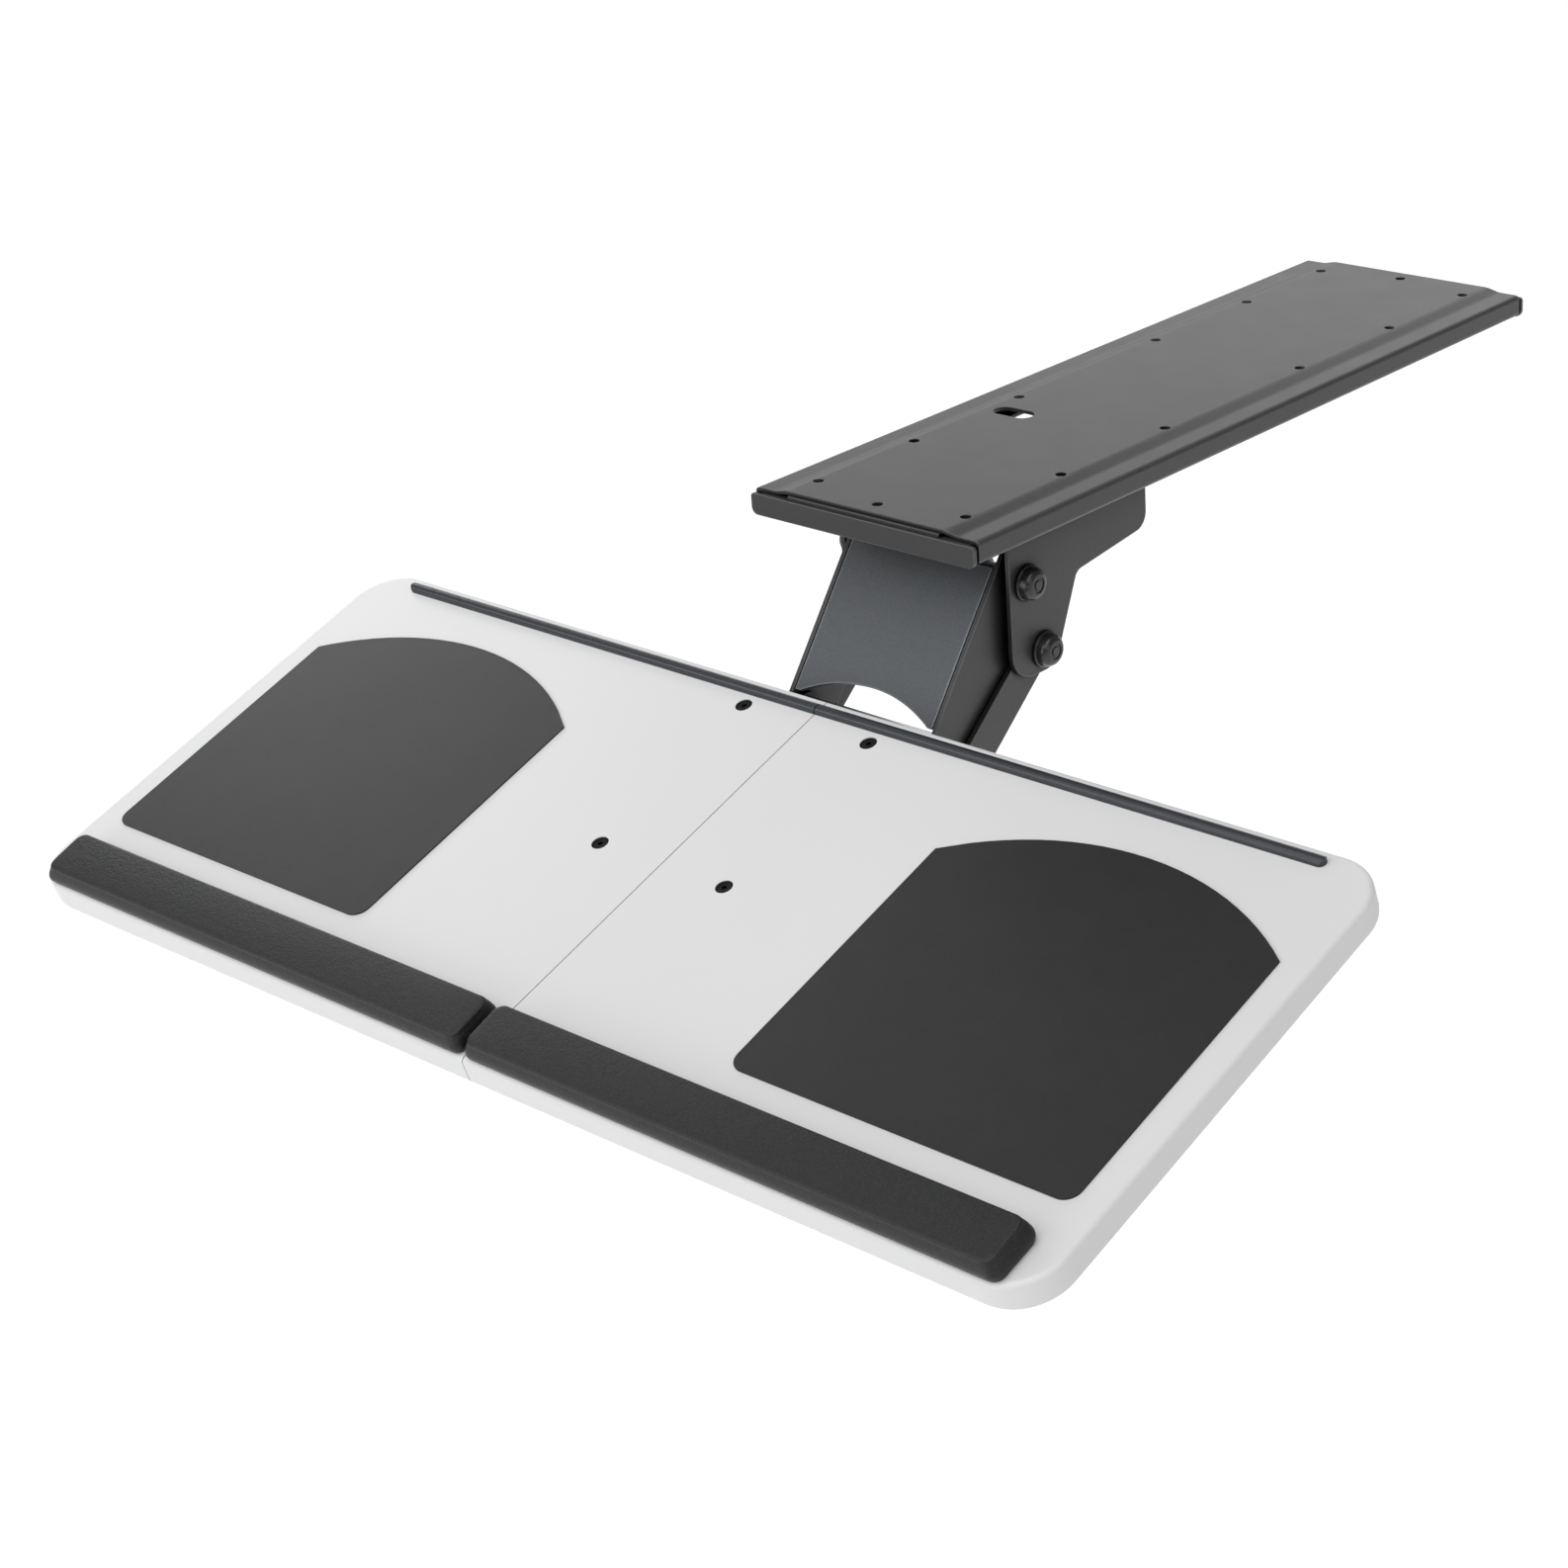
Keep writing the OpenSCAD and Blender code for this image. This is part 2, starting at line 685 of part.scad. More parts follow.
// Right half of the board, drawn from the seam to the right
module half_board() {
    r = tray_corner_r;
    w = tray_w / 2 - seam_gap;
    translate([seam_gap, 0, 0]) {
        translate([0, r - tray_d, -tray_t]) cube([w - r, tray_d - 2 * r, tray_t]);
        translate([w - r, -r, 0]) rotate([90, 0, 0]) linear_extrude(tray_d - 2 * r) board_profile(r);
        translate([0, -r, 0]) rotate([90, 0, 90]) linear_extrude(w - r) board_profile(r);
        translate([w - r, r - tray_d, 0]) rotate([90, 0, -90]) linear_extrude(w - r) board_profile(r);
        translate([w - r, -r, 0]) rotate_extrude(angle = 90) board_profile(r);
        translate([w - r, r - tray_d, 0]) rotate(-90) rotate_extrude(angle = 90) board_profile(r);
    }
}

module tray_half() {
    color(LAMINATE) in_tray() difference() {
        half_board();
        for (y = screw_ys) translate([screw_x, y, 0]) {
            translate([0, 0, -tray_t - 1]) cylinder(tray_t + 2, r = screw_r + screw_gap);
            screw_cone();
            translate([0, 0, -screw_sink]) cylinder(1, r = screw_head_r);
        }
        for (y = dowel_ys) across(-1, dowel_half + 2, [y, -tray_t / 2], dowel_r);
        for (x = [strip_screw_xs[2], strip_screw_xs[3]]) translate([x, strip_mid, -tray_t - 1])
            cylinder(11, r = strip_screw_r);
    }
}

module tray_left() { mirror([1, 0, 0]) tray_half(); }
module tray_right() { tray_half(); }

module board_dowels() {
    color(BEECH) in_tray() for (y = dowel_ys)
        across(-dowel_half, 2 * dowel_half, [y, -tray_t / 2], dowel_r);
}

module tray_screws() {
    low = -tray_t - mount_t - 5;
    color(BLACK) in_tray() for (x = [-screw_x, screw_x], y = screw_ys) translate([x, y, 0]) difference() {
        union() {
            translate([0, 0, low]) cylinder(-low - screw_sink - screw_head_t, r = screw_r);
            screw_cone();
        }
        translate([0, 0, -screw_sink - screw_socket_deep])
            cylinder(screw_socket_deep + 1, r = screw_socket_r, $fn = 6);
    }
}

module tray_nuts() {
    color(STEEL) in_tray() for (x = [-screw_x, screw_x], y = screw_ys)
        translate([x, y, -tray_t - mount_t - 4]) difference() {
            cylinder(4, r = 5, $fn = 6);
            translate([0, 0, -1]) cylinder(6, r = screw_r);
        }
}

module joining_strip() {
    color(CHARCOAL) in_tray() translate([0, 0, -tray_t - strip_t]) difference() {
        linear_extrude(strip_t) translate([-strip_half, strip_ys[0]])
            round_rect([2 * strip_half, strip_ys[1] - strip_ys[0]], 6);
        for (x = strip_screw_xs) translate([x, strip_mid, -1]) cylinder(strip_t + 2, r = strip_screw_r);
    }
}

module strip_screws() {
    color(STEEL) in_tray() for (x = strip_screw_xs) translate([x, strip_mid, -tray_t - strip_t]) {
        cylinder(strip_t + 9.5, r = strip_screw_r);
        translate([0, 0, -1.8]) cylinder(1.8, r1 = 2.6, r2 = 4);
    }
}

// Mouse pad: straight sides and front, back edge a single arc through both back corners
module mouse_pad() {
    mid = (pad_in + pad_out) / 2;
    half = (pad_out - pad_in) / 2;
    rise = pad_side_back - pad_back;
    r = (half * half + rise * rise) / (2 * rise);
    spread = asin(half / r);
    front = rounded([[pad_in, -pad_side_back, 0], [pad_in, -pad_front, 8], [pad_out, -pad_front, 8],
        [pad_out, -pad_side_back, 0]]);
    back = [for (a = [spread - 3:-3:3 - spread]) [mid + r * sin(a), r * cos(a) - r - pad_back]];
    color(CLOTH) in_tray() linear_extrude(pad_t) polygon(concat(front, back));
}

module mouse_pad_left() { mirror([1, 0, 0]) mouse_pad(); }
module mouse_pad_right() { mouse_pad(); }

module palm_rest() {
    color(SOFT_SKIN) in_tray() translate([rest_gap, -rest_front, rest_lift])
        linear_extrude(rest_h - rest_lift) round_rect([rest_end - rest_gap, rest_d], 5);
}

module palm_rest_left() { mirror([1, 0, 0]) palm_rest(); }
module palm_rest_right() { palm_rest(); }

// Keyboard stop: low rail with a round top and a round outer end
module stop_rail() {
    r = stop_w / 2;
    top_r = r * 0.95;
    length = stop_end - seam_gap;
    color(STRIP) in_tray() translate([seam_gap, -stop_back - r, 0]) intersection() {
        rotate([90, 0, 90]) linear_extrude(length)
            polygon(rounded([[-r, 0, 0], [r, 0, 0], [r, stop_h, top_r], [-r, stop_h, top_r]]));
        linear_extrude(stop_h + 1) {
            translate([0, -r]) square([length - r, stop_w]);
            translate([length - r, 0]) circle(r);
        }
    }
}

module stop_rail_left() { mirror([1, 0, 0]) stop_rail(); }
module stop_rail_right() { stop_rail(); }

track();
front_stop();
rear_stop();
front_bumpers();
rear_bumpers();
carriage_plate();
glide_front_left();
glide_front_right();
glide_rear_left();
glide_rear_right();
swivel_plate();
swivel_rivets();
thrust_washer();
swivel_pin();
swivel_spring_washer();
swivel_nut();
swivel_bracket();
upper_rear_pin();
lower_rear_pins();
upper_spacers();
lift_spring_left();
lift_spring_right();
cap_upper_left();
cap_upper_right();
cap_lower_left();
cap_lower_right();
upper_link_face();
upper_link_left();
upper_link_right();
lower_link_left();
lower_link_right();
head_plate_left();
head_plate_right();
head_web();
upper_front_pin();
lower_front_pin();
head_sleeves();
lower_pin_clips();
tilt_bolt();
tilt_washers();
tilt_knob();
tilt_bracket();
mount_plate();
bracket_rivets();
tray_left();
tray_right();
board_dowels();
tray_screws();
tray_nuts();
joining_strip();
strip_screws();
mouse_pad_left();
mouse_pad_right();
palm_rest_left();
palm_rest_right();
stop_rail_left();
stop_rail_right();
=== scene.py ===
"""Looks for the under-desk keyboard tray: studio scene, palm rests, springs and materials."""
import json
import math

import bmesh
import bpy
from mathutils import Matrix, Vector


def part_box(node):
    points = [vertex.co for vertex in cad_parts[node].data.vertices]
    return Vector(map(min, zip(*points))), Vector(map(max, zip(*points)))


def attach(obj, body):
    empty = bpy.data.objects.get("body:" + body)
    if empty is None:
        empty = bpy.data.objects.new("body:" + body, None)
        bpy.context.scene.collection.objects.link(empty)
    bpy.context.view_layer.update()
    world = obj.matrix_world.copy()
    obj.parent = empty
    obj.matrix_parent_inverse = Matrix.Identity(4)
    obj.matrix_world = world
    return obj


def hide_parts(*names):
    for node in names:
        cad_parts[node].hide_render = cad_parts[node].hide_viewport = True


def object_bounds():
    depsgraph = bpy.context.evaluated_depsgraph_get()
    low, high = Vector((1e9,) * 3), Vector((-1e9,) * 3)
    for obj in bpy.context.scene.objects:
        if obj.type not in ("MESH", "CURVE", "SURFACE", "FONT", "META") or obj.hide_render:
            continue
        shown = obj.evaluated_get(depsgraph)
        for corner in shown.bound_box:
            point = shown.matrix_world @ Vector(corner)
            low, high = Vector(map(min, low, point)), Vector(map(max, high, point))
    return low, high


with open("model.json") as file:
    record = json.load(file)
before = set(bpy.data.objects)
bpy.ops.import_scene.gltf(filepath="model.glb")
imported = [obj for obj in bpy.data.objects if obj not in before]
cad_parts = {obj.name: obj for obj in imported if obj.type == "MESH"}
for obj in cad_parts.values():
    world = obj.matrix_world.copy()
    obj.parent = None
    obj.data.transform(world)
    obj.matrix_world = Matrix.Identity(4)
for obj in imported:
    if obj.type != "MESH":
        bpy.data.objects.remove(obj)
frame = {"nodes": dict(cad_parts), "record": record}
cad_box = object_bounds()
record = frame["record"]
nodes = frame["nodes"]

MM = 0.001

# Camera: the studio view of the tray, from the sitter's right, above the front edge
CAMERA_AT = Vector((1.1076, -1.4281, 0.5811))
CAMERA_TURN = math.radians(44.17)
CAMERA_DIP = math.radians(22.24)
CAMERA_ROLL = math.radians(3.86)
CAMERA_LENS = 80.04
CAMERA_SHIFT = (-0.0147, -0.0730)

# Studio: the floor's distance below the tray, and the point that the area lights face
FLOOR_DROP = 1.1
LIGHTS_AIM = (0, -0.15, -0.1)

# Tray frame: the middle of the board's top back edge, tilted front edge down, as in the CAD at rest
TRAY_AT = Vector((0.0, -0.274, -0.0904))
TRAY_TILT = math.radians(18.8)
TRAY = Matrix.Translation(TRAY_AT) @ Matrix.Rotation(TRAY_TILT, 4, "X")


# ---- helpers ----

def new_object(name, bm, smooth=True):
    mesh = bpy.data.meshes.new(name)
    bm.to_mesh(mesh)
    bm.free()
    for face in mesh.polygons:
        face.use_smooth = smooth
    obj = bpy.data.objects.new(name, mesh)
    bpy.context.scene.collection.objects.link(obj)
    return obj


def paint(name, material):
    """Gives a CAD node, or a new piece, one material on every slot."""
    obj = nodes[name] if isinstance(name, str) else name
    if not obj.material_slots:
        obj.data.materials.append(material)
    for held in obj.material_slots:
        held.material = material


class Nodes:
    """Short way to add and join shader nodes in one material."""

    def __init__(self, name):
        self.material = bpy.data.materials.new(name)
        self.material.use_nodes = True
        self.tree = self.material.node_tree
        self.shader = self.tree.nodes["Principled BSDF"]
        self.place = self.add("ShaderNodeTexCoord").outputs["Object"]

    def add(self, kind, **values):
        node = self.tree.nodes.new(kind)
        for key, value in values.items():
            setattr(node, key, value)
        return node

    def join(self, out, into):
        self.tree.links.new(out, into)

    def set(self, **values):
        for key, value in values.items():
            self.shader.inputs[key.replace("_", " ")].default_value = value

    def noise(self, scale, detail=3.0, rough=0.5, place=None):
        node = self.add("ShaderNodeTexNoise")
        node.inputs["Scale"].default_value = scale
        node.inputs["Detail"].default_value = detail
        node.inputs["Roughness"].default_value = rough
        self.join(place or self.place, node.inputs["Vector"])
        return node.outputs["Fac"]

    def cells(self, scale, feature="F1", smooth=0.0):
        node = self.add("ShaderNodeTexVoronoi", feature=feature)
        node.inputs["Scale"].default_value = scale
        if feature == "SMOOTH_F1":
            node.inputs["Smoothness"].default_value = smooth
        self.join(self.place, node.inputs["Vector"])
        return node.outputs["Distance"]

    def span(self, value, low, high, to_low, to_high):
        """Maps low to high onto to_low to to_high, held at both ends."""
        node = self.add("ShaderNodeMapRange")
        for key, number in zip(("From Min", "From Max", "To Min", "To Max"), (low, high, to_low, to_high)):
            node.inputs[key].default_value = number
        self.join(value, node.inputs["Value"])
        return node.outputs["Result"]

    def blend(self, value, low, high):
        node = self.add("ShaderNodeMix", data_type="RGBA")
        node.inputs["A"].default_value = (*low, 1)
        node.inputs["B"].default_value = (*high, 1)
        self.join(value, node.inputs["Factor"])
        return node.outputs["Result"]

    def times(self, colour, value):
        node = self.add("ShaderNodeVectorMath", operation="SCALE")
        self.join(colour, node.inputs[0])
        self.join(value, node.inputs["Scale"])
        return node.outputs["Vector"]

    def stretch(self, scale):
        node = self.add("ShaderNodeMapping")
        node.inputs["Scale"].default_value = scale
        self.join(self.place, node.inputs["Vector"])
        return node.outputs["Vector"]

    def bump(self, height, depth, strength=1.0, under=None):
        node = self.add("ShaderNodeBump")
        node.inputs["Distance"].default_value = depth
        node.inputs["Strength"].default_value = strength
        self.join(height, node.inputs["Height"])
        if under:
            self.join(under, node.inputs["Normal"])
        return node.outputs["Normal"]

    def eased_edges(self, radius):
        node = self.add("ShaderNodeBevel", samples=4)
        node.inputs["Radius"].default_value = radius
        return node.outputs["Normal"]

    def edge_light(self, bevelled):
        """1 along sharp edges and bends, 0 on flat faces: the mask for painted edge highlights."""
        turned, flat = 0.93, 0.998
        node = self.add("ShaderNodeVectorMath", operation="DOT_PRODUCT")
        self.join(bevelled, node.inputs[0])
        self.join(self.add("ShaderNodeNewGeometry").outputs["True Normal"], node.inputs[1])
        return self.span(node.outputs["Value"], turned, flat, 1, 0)

    def openness(self, distance):
        """1 on open surfaces, falling towards 0 in corners and recesses."""
        node = self.add("ShaderNodeAmbientOcclusion", samples=6)
        node.inputs["Distance"].default_value = distance
        return node.outputs["AO"]

    def shadowed(self, tone, openness, dark):
        """Tone on open surfaces, turning to a painted shade colour deep in corners."""
        node = self.add("ShaderNodeMix", data_type="RGBA")
        node.inputs["A"].default_value = (*dark, 1)
        self.join(tone, node.inputs["B"])
        self.join(openness, node.inputs["Factor"])
        return node.outputs["Result"]

    def gloss_level(self, out):
        self.join(out, self.shader.inputs["Specular IOR Level"])

    def colour(self, out):
        self.join(out, self.shader.inputs["Base Color"])

    def roughness(self, out):
        self.join(out, self.shader.inputs["Roughness"])

    def normal(self, out):
        self.join(out, self.shader.inputs["Normal"])


def shade(colour, factor):
    return tuple(c * factor for c in colour)


# ---- materials ----

# Parts of a noise's range that a look is spread over: the usual one, and one with more contrast
USUAL = (0.3, 0.7)
NARROW = (0.35, 0.65)


def powder_coat(name, colour, rough, edge, shut):
    """Satin powder coat: fine orange peel and speckle, painted highlights along the edges, and painted
    shade where openness nears shut.
    """
    painted_highlight_gain = 5
    corner_reach, fully_open = 35 * MM, 0.87
    corner_shade, corner_gloss, open_gloss = 0.2, 0.06, 0.5
    wear = 0.012
    m = Nodes(name)
    speckle = m.span(m.noise(1000.0, detail=3.0, rough=0.7), *NARROW, 0, 1)
    tone = m.blend(speckle, shade(colour, 0.82), shade(colour, 1.18))
    eased = m.eased_edges(edge)
    # Painted highlights: the colour brightens along edges and bends.
    lit = m.times(tone, m.span(m.edge_light(eased), 0, 1, 1, painted_highlight_gain))
    # Painted shade: the colour darkens and the reflection dims in corners and recesses.
    unshaded = m.span(m.openness(corner_reach), shut, fully_open, 0, 1)
    m.colour(m.shadowed(lit, unshaded, shade(colour, corner_shade)))
    m.gloss_level(m.span(unshaded, 0, 1, corner_gloss, open_gloss))
    m.roughness(m.span(m.noise(40.0, detail=4.0), *USUAL, rough - wear, rough + wear))
    peel = m.bump(m.noise(1100.0, detail=2.0), depth=0.09 * MM, strength=0.6, under=eased)
    m.normal(m.bump(m.noise(4200.0, detail=1.0), depth=0.02 * MM, strength=0.6, under=peel))
    m.set(Coat_Weight=0.08, Coat_Roughness=0.25)
    return m.material


def laminate(name, colour):
    """Matt white laminate: a very fine texture and faint unevenness of tone."""
    m = Nodes(name)
    unevenness = m.span(m.noise(9.0, detail=3.0), *USUAL, 0, 1)
    m.colour(m.blend(unevenness, shade(colour, 0.985), colour))
    m.roughness(m.span(m.noise(900.0, detail=2.0), *USUAL, 0.42, 0.52))
    m.normal(m.bump(m.noise(2600.0, detail=2.0), depth=0.02 * MM, strength=0.4))
    return m.material


def pad_cloth(name, colour):
    """Mouse pad: tight, matt, finely grained surface with faint cloudiness."""
    m = Nodes(name)
    grain = m.noise(1800.0, detail=3.0, rough=0.7)
    tone = m.blend(m.span(grain, *NARROW, 0, 1), shade(colour, 0.75), shade(colour, 1.3))
    clouds = m.span(m.noise(55.0, detail=5.0, rough=0.6), *USUAL, 0.9, 1.1)
    m.colour(m.times(tone, clouds))
    m.roughness(m.span(grain, *USUAL, 0.44, 0.56))
    weave = m.bump(m.cells(1300.0), depth=0.08 * MM, strength=0.35)
    m.normal(m.bump(grain, depth=0.1 * MM, strength=0.5, under=weave))
    m.set(Specular_IOR_Level=0.33)
    return m.material


def soft_skin(name, colour):
    """Artificial leather: pebbled grain with darker creases between the pebbles."""
    m = Nodes(name)
    pebbles = m.cells(700.0, feature="SMOOTH_F1", smooth=0.35)
    fine = m.noise(1300.0, detail=3.0, rough=0.65)
    speckle = m.span(fine, *NARROW, 0.5, 1.6)
    tone = m.blend(m.span(pebbles, 0.1, 0.75, 0, 1), shade(colour, 1.2), shade(colour, 0.72))
    m.colour(m.times(tone, speckle))
    m.roughness(m.span(fine, *USUAL, 0.4, 0.54))
    uneven = m.bump(m.noise(220.0, detail=2.0), depth=0.4 * MM, strength=0.25)
    domed = m.span(pebbles, 0.0, 0.8, 1, 0)
    grain = m.bump(domed, depth=0.16 * MM, strength=0.42, under=uneven)
    m.normal(m.bump(fine, depth=0.1 * MM, strength=0.45, under=grain))
    m.set(Specular_IOR_Level=0.37)
    return m.material


def moulded(name, colour, rough, grain_depth=0.04 * MM, gloss=0.5, wear=0.05):
    """Moulded rubber or plastic: fine spark-eroded grain and slight wear in the gloss."""
    m = Nodes(name)
    mottle = m.span(m.noise(40.0, detail=4.0), *USUAL, 0, 1)
    m.colour(m.blend(mottle, shade(colour, 0.9), shade(colour, 1.15)))
    m.roughness(m.span(m.noise(300.0, detail=3.0), *USUAL, rough - wear, rough + wear))
    m.normal(m.bump(m.noise(3200.0, detail=2.0), depth=grain_depth, strength=0.5))
    m.set(Specular_IOR_Level=gloss)
    return m.material


def glossy_cap(name, colour):
    """Semi-gloss moulded cap: painted highlights on the rims, and painted shade where one step meets the
    next.
    """
    edge, painted_highlight_gain = 0.4 * MM, 2
    corner_reach, shut, fully_open = 4 * MM, 0.45, 0.95
    corner_shade, corner_gloss, open_gloss = 0.2, 0.05, 0.5
    m = Nodes(name)
    eased = m.eased_edges(edge)
    mottle = m.span(m.noise(60.0, detail=4.0), *USUAL, 0, 1)
    tone = m.blend(mottle, shade(colour, 0.9), shade(colour, 1.1))
    # Painted highlights: the colour brightens along the rims.
    lit = m.times(tone, m.span(m.edge_light(eased), 0, 1, 1, painted_highlight_gain))
    # Painted shade: the colour darkens and the reflection dims where the steps meet.
    unshaded = m.span(m.openness(corner_reach), shut, fully_open, 0, 1)
    m.colour(m.shadowed(lit, unshaded, shade(colour, corner_shade)))
    m.gloss_level(m.span(unshaded, 0, 1, corner_gloss, open_gloss))
    m.roughness(m.span(m.noise(300.0, detail=3.0), *USUAL, 0.2, 0.28))
    m.normal(m.bump(m.noise(3200.0, detail=2.0), depth=0.01 * MM, strength=0.4, under=eased))
    return m.material


def zinc(name, colour):
    """Bright zinc plate on turned steel: drawn lines and cloudy gloss."""
    m = Nodes(name)
    lines = m.noise(1.0, detail=2.0, place=m.stretch((60.0, 3500.0, 3500.0)))
    clouds = m.span(m.noise(120.0, detail=4.0), *USUAL, 0, 1)
    m.colour(m.blend(clouds, shade(colour, 0.85), colour))
    m.roughness(m.span(lines, *USUAL, 0.24, 0.4))
    m.normal(m.bump(lines, depth=0.02 * MM, strength=0.35))
    m.set(Metallic=1.0)
    return m.material


def beech(name, colour):
    """Beech dowel: fine grain along its length."""
    m = Nodes(name)
    grain = m.noise(1.0, detail=4.0, place=m.stretch((90.0, 1400.0, 1400.0)))
    m.colour(m.blend(m.span(grain, *USUAL, 0, 1), shade(colour, 0.75), shade(colour, 1.1)))
    m.roughness(m.span(grain, *USUAL, 0.55, 0.7))
    m.normal(m.bump(grain, depth=0.05 * MM, strength=0.5))
    return m.material


COLOURS = {held["slot"]: tuple(held["base_color"]) for held in record["materials"]}
BUILDERS = {
    "powder_coat": lambda n, c: powder_coat(n, c, rough=0.42, edge=1.1 * MM, shut=0.42),
    "link_coat": lambda n, c: powder_coat(n, c, rough=0.46, edge=1.6 * MM, shut=0.22),
    "steel": zinc,
    "nylon": lambda n, c: moulded(n, c, rough=0.45),
    "rubber": lambda n, c: moulded(n, c, rough=0.7),
    "cap_black": glossy_cap,
    "knob_black": lambda n, c: moulded(n, c, rough=0.5, grain_depth=0.08 * MM),
    "screw_black": lambda n, c: moulded(n, c, rough=0.6, gloss=0.12),
    "board_white": laminate,
    "dowel_wood": beech,
    "mouse_pad": pad_cloth,
    "rest_skin": soft_skin,
    "stop_strip": lambda n, c: moulded(n, c, rough=0.28, grain_depth=0.01 * MM, wear=0.01),
}
MATERIALS = {name: build(name, COLOURS[name]) for name, build in BUILDERS.items()}


def dress_cad():
    """Gives every CAD node the material of its slot in the record."""
    for part in record["subparts"]:
        paint(part["node"], MATERIALS[part["material_slot"]])


# ---- palm rests ----

# Radius of the edge between a rest's walls and its top
REST_ROLL = 1.5 * MM


def ring(half_x, half_y, corner, steps, corner_steps):
    """Points of a rounded rectangle, with the same number of points whatever its size."""
    corner = min(corner, half_x, half_y)
    ix, iy = half_x - corner, half_y - corner
    points = []
    for k, (sx, sy) in enumerate(((1, -1), (1, 1), (-1, 1), (-1, -1))):
        start = -90 + 90 * k
        for i in range(corner_steps + 1):
            a = math.radians(start + 90 * i / corner_steps)
            points.append((sx * ix + corner * math.cos(a), sy * iy + corner * math.sin(a)))
        if k in (1, 3):
            x0 = sx * ix
            for i in range(1, steps):
                points.append((x0 * (1 - 2 * i / steps), sy * half_y))
    return points


def join_rings(bm, rings):
    """Faces between each ring of points and the next."""
    count = len(rings[0])
    for one, two in zip(rings, rings[1:]):
        for i in range(count):
            j = (i + 1) % count
            bm.faces.new((one[i], one[j], two[j], two[i]))


def tray_bounds(node):
    """Lowest and highest corners of a CAD node in the tray's own frame."""
    back = TRAY.inverted()
    points = [back @ v.co for v in nodes[node].data.vertices]
    return [Vector(pick(p[i] for p in points) for i in range(3)) for pick in (min, max)]


def rest_levels(foot, shoulder, half_y):
    """Rings from foot to middle of top, as share of draft, inset, height and share of crown.

    Gives the inset where the top begins as well.
    """
    undercut, lean = 1.3 * MM, 1.9 * MM
    belly = 0.38
    wall_steps, roll_steps, top_steps = 10, 7, 8
    levels = []
    for i in range(wall_steps + 1):
        t = i / wall_steps
        below = max(0, 1 - t / belly)
        above = max(0, t - belly) / (1 - belly)
        inset = undercut * below ** 2 + lean * above ** 1.5
        levels.append((t, inset, foot + (shoulder - foot) * t, 0))
    waist = levels[-1][1]
    for i in range(1, roll_steps + 1):
        a = math.radians(90 * i / roll_steps)
        inset = waist + REST_ROLL * (1 - math.cos(a))
        levels.append((1, inset, shoulder + REST_ROLL * math.sin(a), 0))
    flat = waist + REST_ROLL
    for i in range(1, top_steps + 1):
        levels.append((1, flat + (half_y - flat) * i / top_steps, shoulder + REST_ROLL, 1))
    return levels, flat


def palm_rest(name, node, side):
    """Firm foam rest under soft skin: drafted ends, rolled edges, and a top that falls to the front."""
    corner = 5 * MM
    seam_draft, end_draft = 0.5 * MM, 1.6 * MM
    crown, crown_fade = 0.35 * MM, 20 * MM
    fall = 1.6 * MM
    steps, corner_steps = 120, 6
    least_half = 1e-6
    low, high = tray_bounds(node)
    mid_x, mid_y = abs(low.x + high.x) / 2, (low.y + high.y) / 2
    half_x, half_y = (high.x - low.x) / 2, (high.y - low.y) / 2
    levels, flat = rest_levels(low.z, high.z - crown - REST_ROLL, half_y)

    bm = bmesh.new()
    rings = []
    for draft, inset, z, crowned in levels:
        shift_x = draft * (seam_draft - end_draft) / 2
        inset_x = draft * (seam_draft + end_draft) / 2 + inset
        row = []
        for x, y in ring(half_x - inset_x, max(half_y - inset, least_half), corner, steps, corner_steps):
            across = 1 - (y / (half_y - flat)) ** 2
            along = min(1, (half_x - end_draft - flat - abs(x)) / crown_fade)
            rise = crowned * crown * max(0, across) * max(0, along) ** 0.5
            drop = draft * fall * (0.5 - y / (2 * half_y))
            place = Vector((side * (mid_x + shift_x + x), mid_y + y, z + rise - drop))
            row.append(bm.verts.new(TRAY @ place))
        rings.append(row)
    join_rings(bm, rings)
    bm.faces.new(list(reversed(rings[0])))
    bmesh.ops.remove_doubles(bm, verts=bm.verts, dist=0.03 * MM)
    bmesh.ops.dissolve_degenerate(bm, dist=0.01 * MM, edges=bm.edges)
    bmesh.ops.recalc_face_normals(bm, faces=bm.faces)
    rest = new_object(name, bm)
    paint(rest, MATERIALS["rest_skin"])
    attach(rest, "tray")
    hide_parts(node)


# ---- lift springs ----

def wire_path(low, high, side, wire):
    """Middle line of the wire: down the leg from the bracket, then the close-wound coil outwards."""
    turns, per_turn = 9, 36
    leg_gap, leg_step, leg_points = 0.2 * MM, 2 * MM, 10
    outer = (high[1] - low[1]) / 2
    coil = outer - wire
    x_in = min(abs(low[0]), abs(high[0])) + wire
    x_out = max(abs(low[0]), abs(high[0])) - wire
    mid_y, mid_z = low[1] + outer, low[2] + outer
    points = []
    for i in range(leg_points):
        z = high[2] - leg_gap - i * leg_step
        if z > mid_z + wire:
            points.append(Vector((side * x_in, mid_y + coil, z)))
    for i in range(turns * per_turn + 1):
        a = 2 * math.pi * i / per_turn
        x = x_in + (x_out - x_in) * i / (turns * per_turn)
        points.append(Vector((side * x, mid_y + coil * math.cos(a), mid_z - coil * math.sin(a))))
    return points


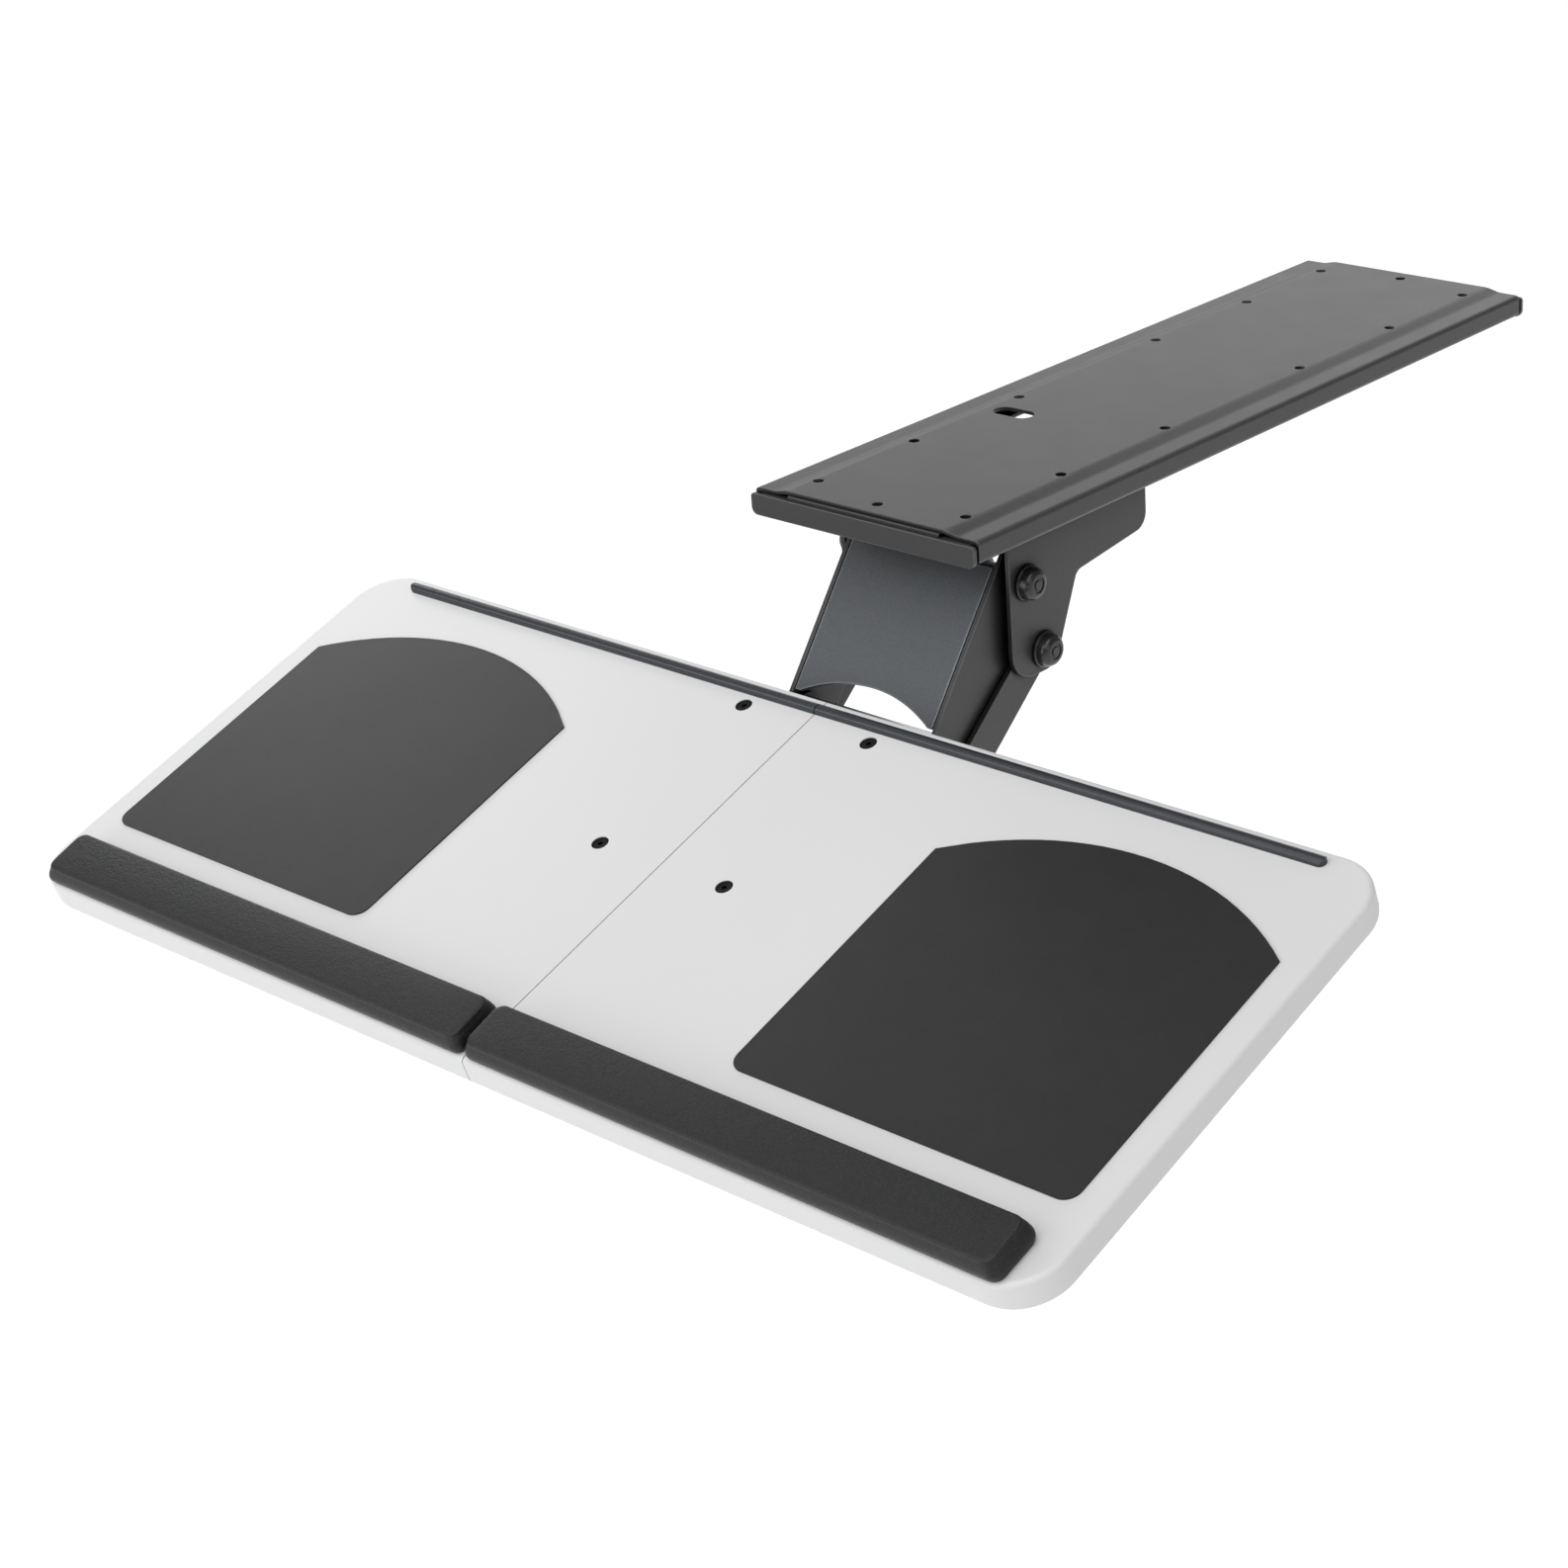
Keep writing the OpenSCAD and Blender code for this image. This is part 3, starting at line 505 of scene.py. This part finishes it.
def spring(name, node, side):
    """Close-wound torsion spring: a helix of wire, with one leg up to the bracket."""
    wire = 1.25 * MM
    around = 12
    low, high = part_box(node)
    points = wire_path(low, high, side, wire)
    turns_round = [2 * math.pi * k / around for k in range(around)]
    bm = bmesh.new()
    rings = []
    normal = Vector((1, 0, 0))
    for i, p in enumerate(points):
        ahead = (points[min(i + 1, len(points) - 1)] - points[max(i - 1, 0)]).normalized()
        normal = (normal - ahead * normal.dot(ahead)).normalized()
        across = ahead.cross(normal)
        row = []
        for t in turns_round:
            row.append(bm.verts.new(p + wire * (normal * math.cos(t) + across * math.sin(t))))
        rings.append(row)
    join_rings(bm, rings)
    bm.faces.new(list(reversed(rings[0])))
    bm.faces.new(rings[-1])
    bmesh.ops.recalc_face_normals(bm, faces=bm.faces)
    wound = new_object(name, bm)
    paint(wound, MATERIALS["steel"])
    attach(wound, "bracket")
    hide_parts(node)


# ---- studio ----

def add_camera():
    forward = Vector((
        -math.sin(CAMERA_TURN) * math.cos(CAMERA_DIP),
        math.cos(CAMERA_TURN) * math.cos(CAMERA_DIP),
        -math.sin(CAMERA_DIP),
    ))
    level = forward.cross(Vector((0, 0, 1))).normalized()
    upright = level.cross(forward)
    right = level * math.cos(CAMERA_ROLL) - upright * math.sin(CAMERA_ROLL)
    up = right.cross(forward)
    data = bpy.data.cameras.new("camera")
    data.lens = CAMERA_LENS
    data.shift_x, data.shift_y = CAMERA_SHIFT
    camera = bpy.data.objects.new("camera", data)
    turn = Matrix((right, up, -forward)).transposed().to_4x4()
    camera.matrix_world = Matrix.Translation(CAMERA_AT) @ turn
    bpy.context.scene.collection.objects.link(camera)
    bpy.context.scene.camera = camera


def area_light(name, place, size, power):
    data = bpy.data.lights.new(name, "AREA")
    data.shape = "RECTANGLE"
    data.size, data.size_y = size
    data.energy = power
    light = bpy.data.objects.new(name, data)
    light.location = place
    light.rotation_euler = (Vector(LIGHTS_AIM) - Vector(place)).to_track_quat("-Z", "Y").to_euler()
    bpy.context.scene.collection.objects.link(light)


def add_floor():
    """White paper, so far below the tray that no shadow of it shows."""
    half_width = 30
    bm = bmesh.new()
    bmesh.ops.create_grid(bm, x_segments=1, y_segments=1, size=half_width)
    floor = new_object("floor", bm, smooth=False)
    floor.location.z = cad_box[0][2] - FLOOR_DROP
    m = Nodes("floor_paper")
    m.set(Base_Color=(0.97, 0.97, 0.97, 1), Roughness=0.9, Specular_IOR_Level=0.1)
    m.set(Emission_Color=(1, 1, 1, 1), Emission_Strength=0.1)
    paint(floor, m.material)


def add_world():
    """White backdrop that the camera sees at full strength and the pieces see dimmed."""
    seen_by_pieces, seen_by_camera = 0.26, 1.0
    world = bpy.data.worlds.new("studio")
    world.use_nodes = True
    tree = world.node_tree
    backdrop = tree.nodes["Background"]
    backdrop.inputs["Color"].default_value = (1, 1, 1, 1)
    seen = tree.nodes.new("ShaderNodeLightPath")
    strength = tree.nodes.new("ShaderNodeMapRange")
    strength.inputs["To Min"].default_value = seen_by_pieces
    strength.inputs["To Max"].default_value = seen_by_camera
    tree.links.new(seen.outputs["Is Camera Ray"], strength.inputs["Value"])
    tree.links.new(strength.outputs["Result"], backdrop.inputs["Strength"])
    bpy.context.scene.world = world


def add_lights():
    """One broad soft light from above the front edge, and dim panels all round."""
    sky_power, sky_spread = 2.4, math.radians(80)
    sky_shines = Vector((-0.1, 0.5, -1))
    sky = bpy.data.lights.new("sky_softbox", "SUN")
    sky.energy = sky_power
    sky.angle = sky_spread
    panel = bpy.data.objects.new("sky_softbox", sky)
    panel.rotation_euler = sky_shines.to_track_quat("-Z", "Y").to_euler()
    bpy.context.scene.collection.objects.link(panel)
    area_light("right_fill", place=(2.2, -0.6, 0.5), size=(1.2, 1.2), power=5)
    area_light("back_strip", place=(-1.6, 2.4, 0.75), size=(2.4, 0.7), power=10)
    area_light("back_high", place=(-0.3, 2.3, 1.8), size=(1.6, 1.0), power=5)
    area_light("left_panel", place=(-2.3, 0.6, 0.8), size=(0.8, 0.5), power=15)
    area_light("front_left", place=(-1.4, -1.8, 0.75), size=(1.2, 0.8), power=7.5)
    area_light("front_fill", place=(-0.4, -2.8, 0.1), size=(1.8, 0.8), power=13)


add_camera()
dress_cad()
palm_rest("left_palm_rest", "palm_rest_left", -1)
palm_rest("right_palm_rest", "palm_rest_right", 1)
spring("left_lift_spring", "lift_spring_left", -1)
spring("right_lift_spring", "lift_spring_right", 1)
add_floor()
add_world()
add_lights()
bpy.context.scene.view_settings.view_transform = "Standard"
